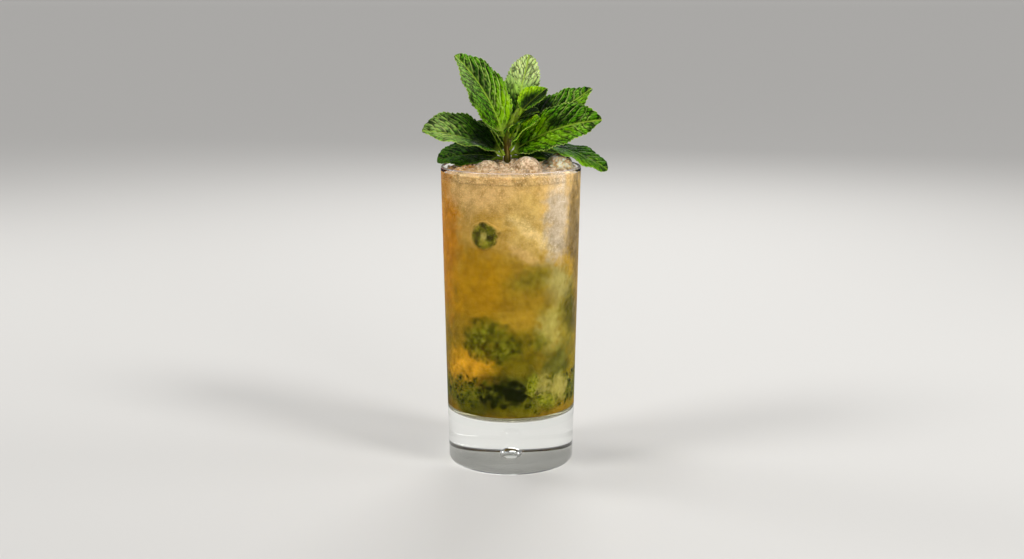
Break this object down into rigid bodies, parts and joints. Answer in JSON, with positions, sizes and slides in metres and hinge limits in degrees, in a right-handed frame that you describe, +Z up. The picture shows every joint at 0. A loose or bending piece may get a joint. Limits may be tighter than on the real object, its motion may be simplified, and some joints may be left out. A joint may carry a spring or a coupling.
{
  "type": "queens park swizzle",
  "caption": "Iced drink in a straight highball glass with a thick clear foot, heaped with crushed ice and topped with a leafy sprig of mint.",
  "frame": {"origin": "centre of the glass's underside, on the table", "axes": "+Z up along the glass's axis; the side shown in the picture faces -Y, with +X to its right"},
  "size_m": [0.0923, 0.0782, 0.2066],
  "materials": {
    "glass": "clear polished glass",
    "drink": "pale amber drink, packed with crushed ice",
    "ice": "wet crushed ice, tinted by the drink",
    "mint_stem": "green stalk, browner towards its foot",
    "mint_leaf": "fresh mint leaf, veined and slightly glossy"
  },
  "bodies": {
    "root": {"glass": "glass", "drink": "drink", "crushed_ice": "ice", "mint_stem": "mint_stem", "mint_leaf_tall_left": "mint_leaf", "mint_leaf_left_upper": "mint_leaf", "mint_leaf_left_low": "mint_leaf", "mint_leaf_top_back": "mint_leaf", "mint_leaf_back_mid": "mint_leaf", "mint_leaf_back_low": "mint_leaf", "mint_leaf_back_right": "mint_leaf", "mint_leaf_young_bright": "mint_leaf", "mint_leaf_right_upper": "mint_leaf", "mint_leaf_right_front": "mint_leaf", "mint_leaf_right_low": "mint_leaf", "mint_leaf_young_right": "mint_leaf", "mint_leaf_right_under": "mint_leaf", "mint_leaf_back_under": "mint_leaf", "mint_leaf_left_under": "mint_leaf", "mint_leaf_young_low": "mint_leaf", "mint_leaf_front_small": "mint_leaf", "mint_leaf_left_small": "mint_leaf"}
  },
  "joints": []
}
